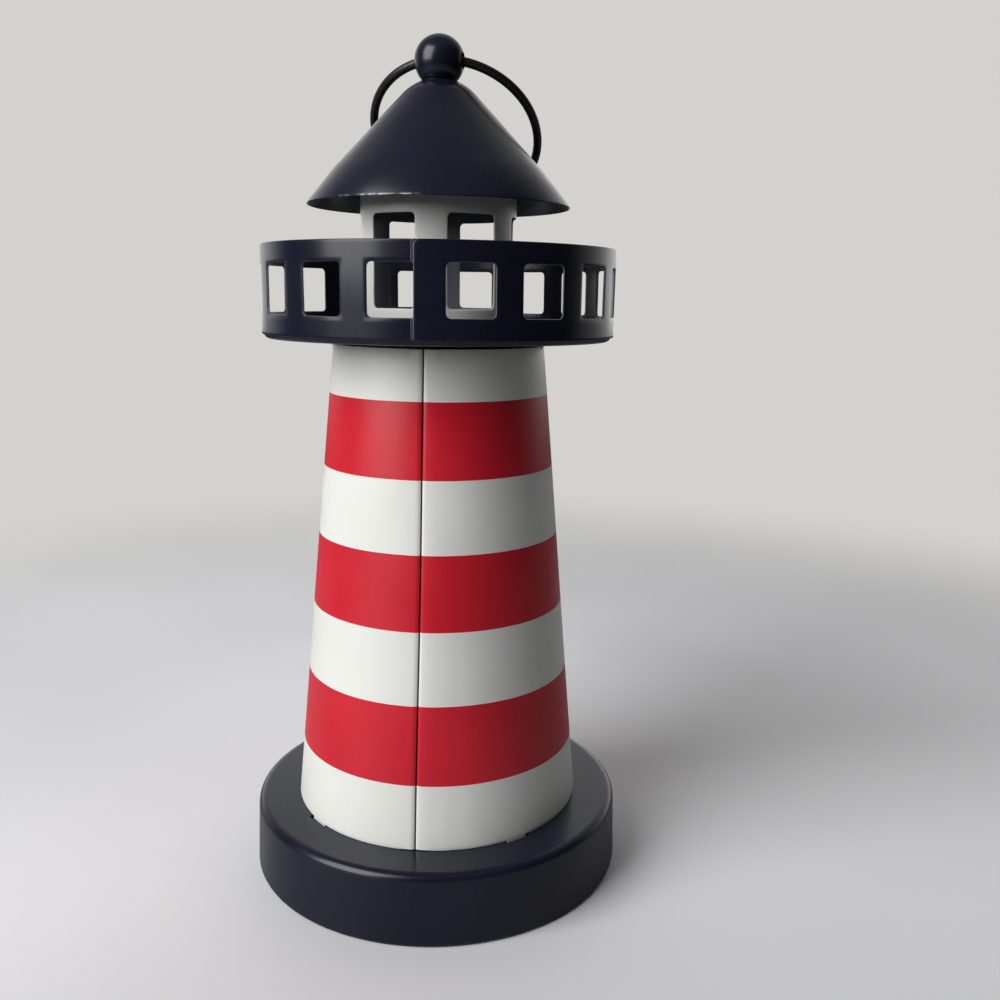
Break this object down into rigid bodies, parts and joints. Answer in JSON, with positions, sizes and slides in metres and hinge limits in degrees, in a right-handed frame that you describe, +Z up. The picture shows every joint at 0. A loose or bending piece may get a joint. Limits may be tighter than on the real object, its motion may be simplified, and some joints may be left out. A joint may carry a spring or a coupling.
{
  "type": "lighthouse lantern",
  "caption": "Striped sheet-steel lighthouse lantern: round foot, tapered tower, windowed gallery and lantern room, lift-off cone roof, ball finial and swinging ring handle.",
  "frame": {"origin": "centre of the foot's underside, on the surface the lantern stands on", "axes": "+Z up the tower, -Y the front, where the gallery band's lap and the tower's seam show, +X to the right"},
  "size_m": [0.109, 0.109, 0.2353],
  "materials": {
    "navy_enamel": "semi-gloss navy enamel",
    "striped_enamel": "satin warm white enamel with three red bands",
    "white_enamel": "satin white enamel, dark inside",
    "black_wire": "satin black",
    "zinc_steel": "zinc plated"
  },
  "bodies": {
    "tower": {"base_pan": "navy_enamel", "tower_shell": "striped_enamel", "gallery_floor": "navy_enamel", "gallery_railing": "navy_enamel", "lantern_room": "white_enamel"},
    "roof": {"roof_cone": "navy_enamel", "roof_collar": "navy_enamel", "finial_washer": "zinc_steel", "finial_screw": "zinc_steel", "finial_ball": "navy_enamel"},
    "handle": {"handle_ring": "black_wire"}
  },
  "joints": [
    {"name": "roof_lift", "type": "slide", "parent": "tower", "child": "roof", "axis": [0, 0, 1], "range_m": [0, 0.06]},
    {"name": "handle_swing", "type": "hinge", "parent": "roof", "child": "handle", "pos_m": [0, 0, 0.22848], "axis": [0.9613, -0.2756, 0], "range_deg": [0, 268]}
  ]
}
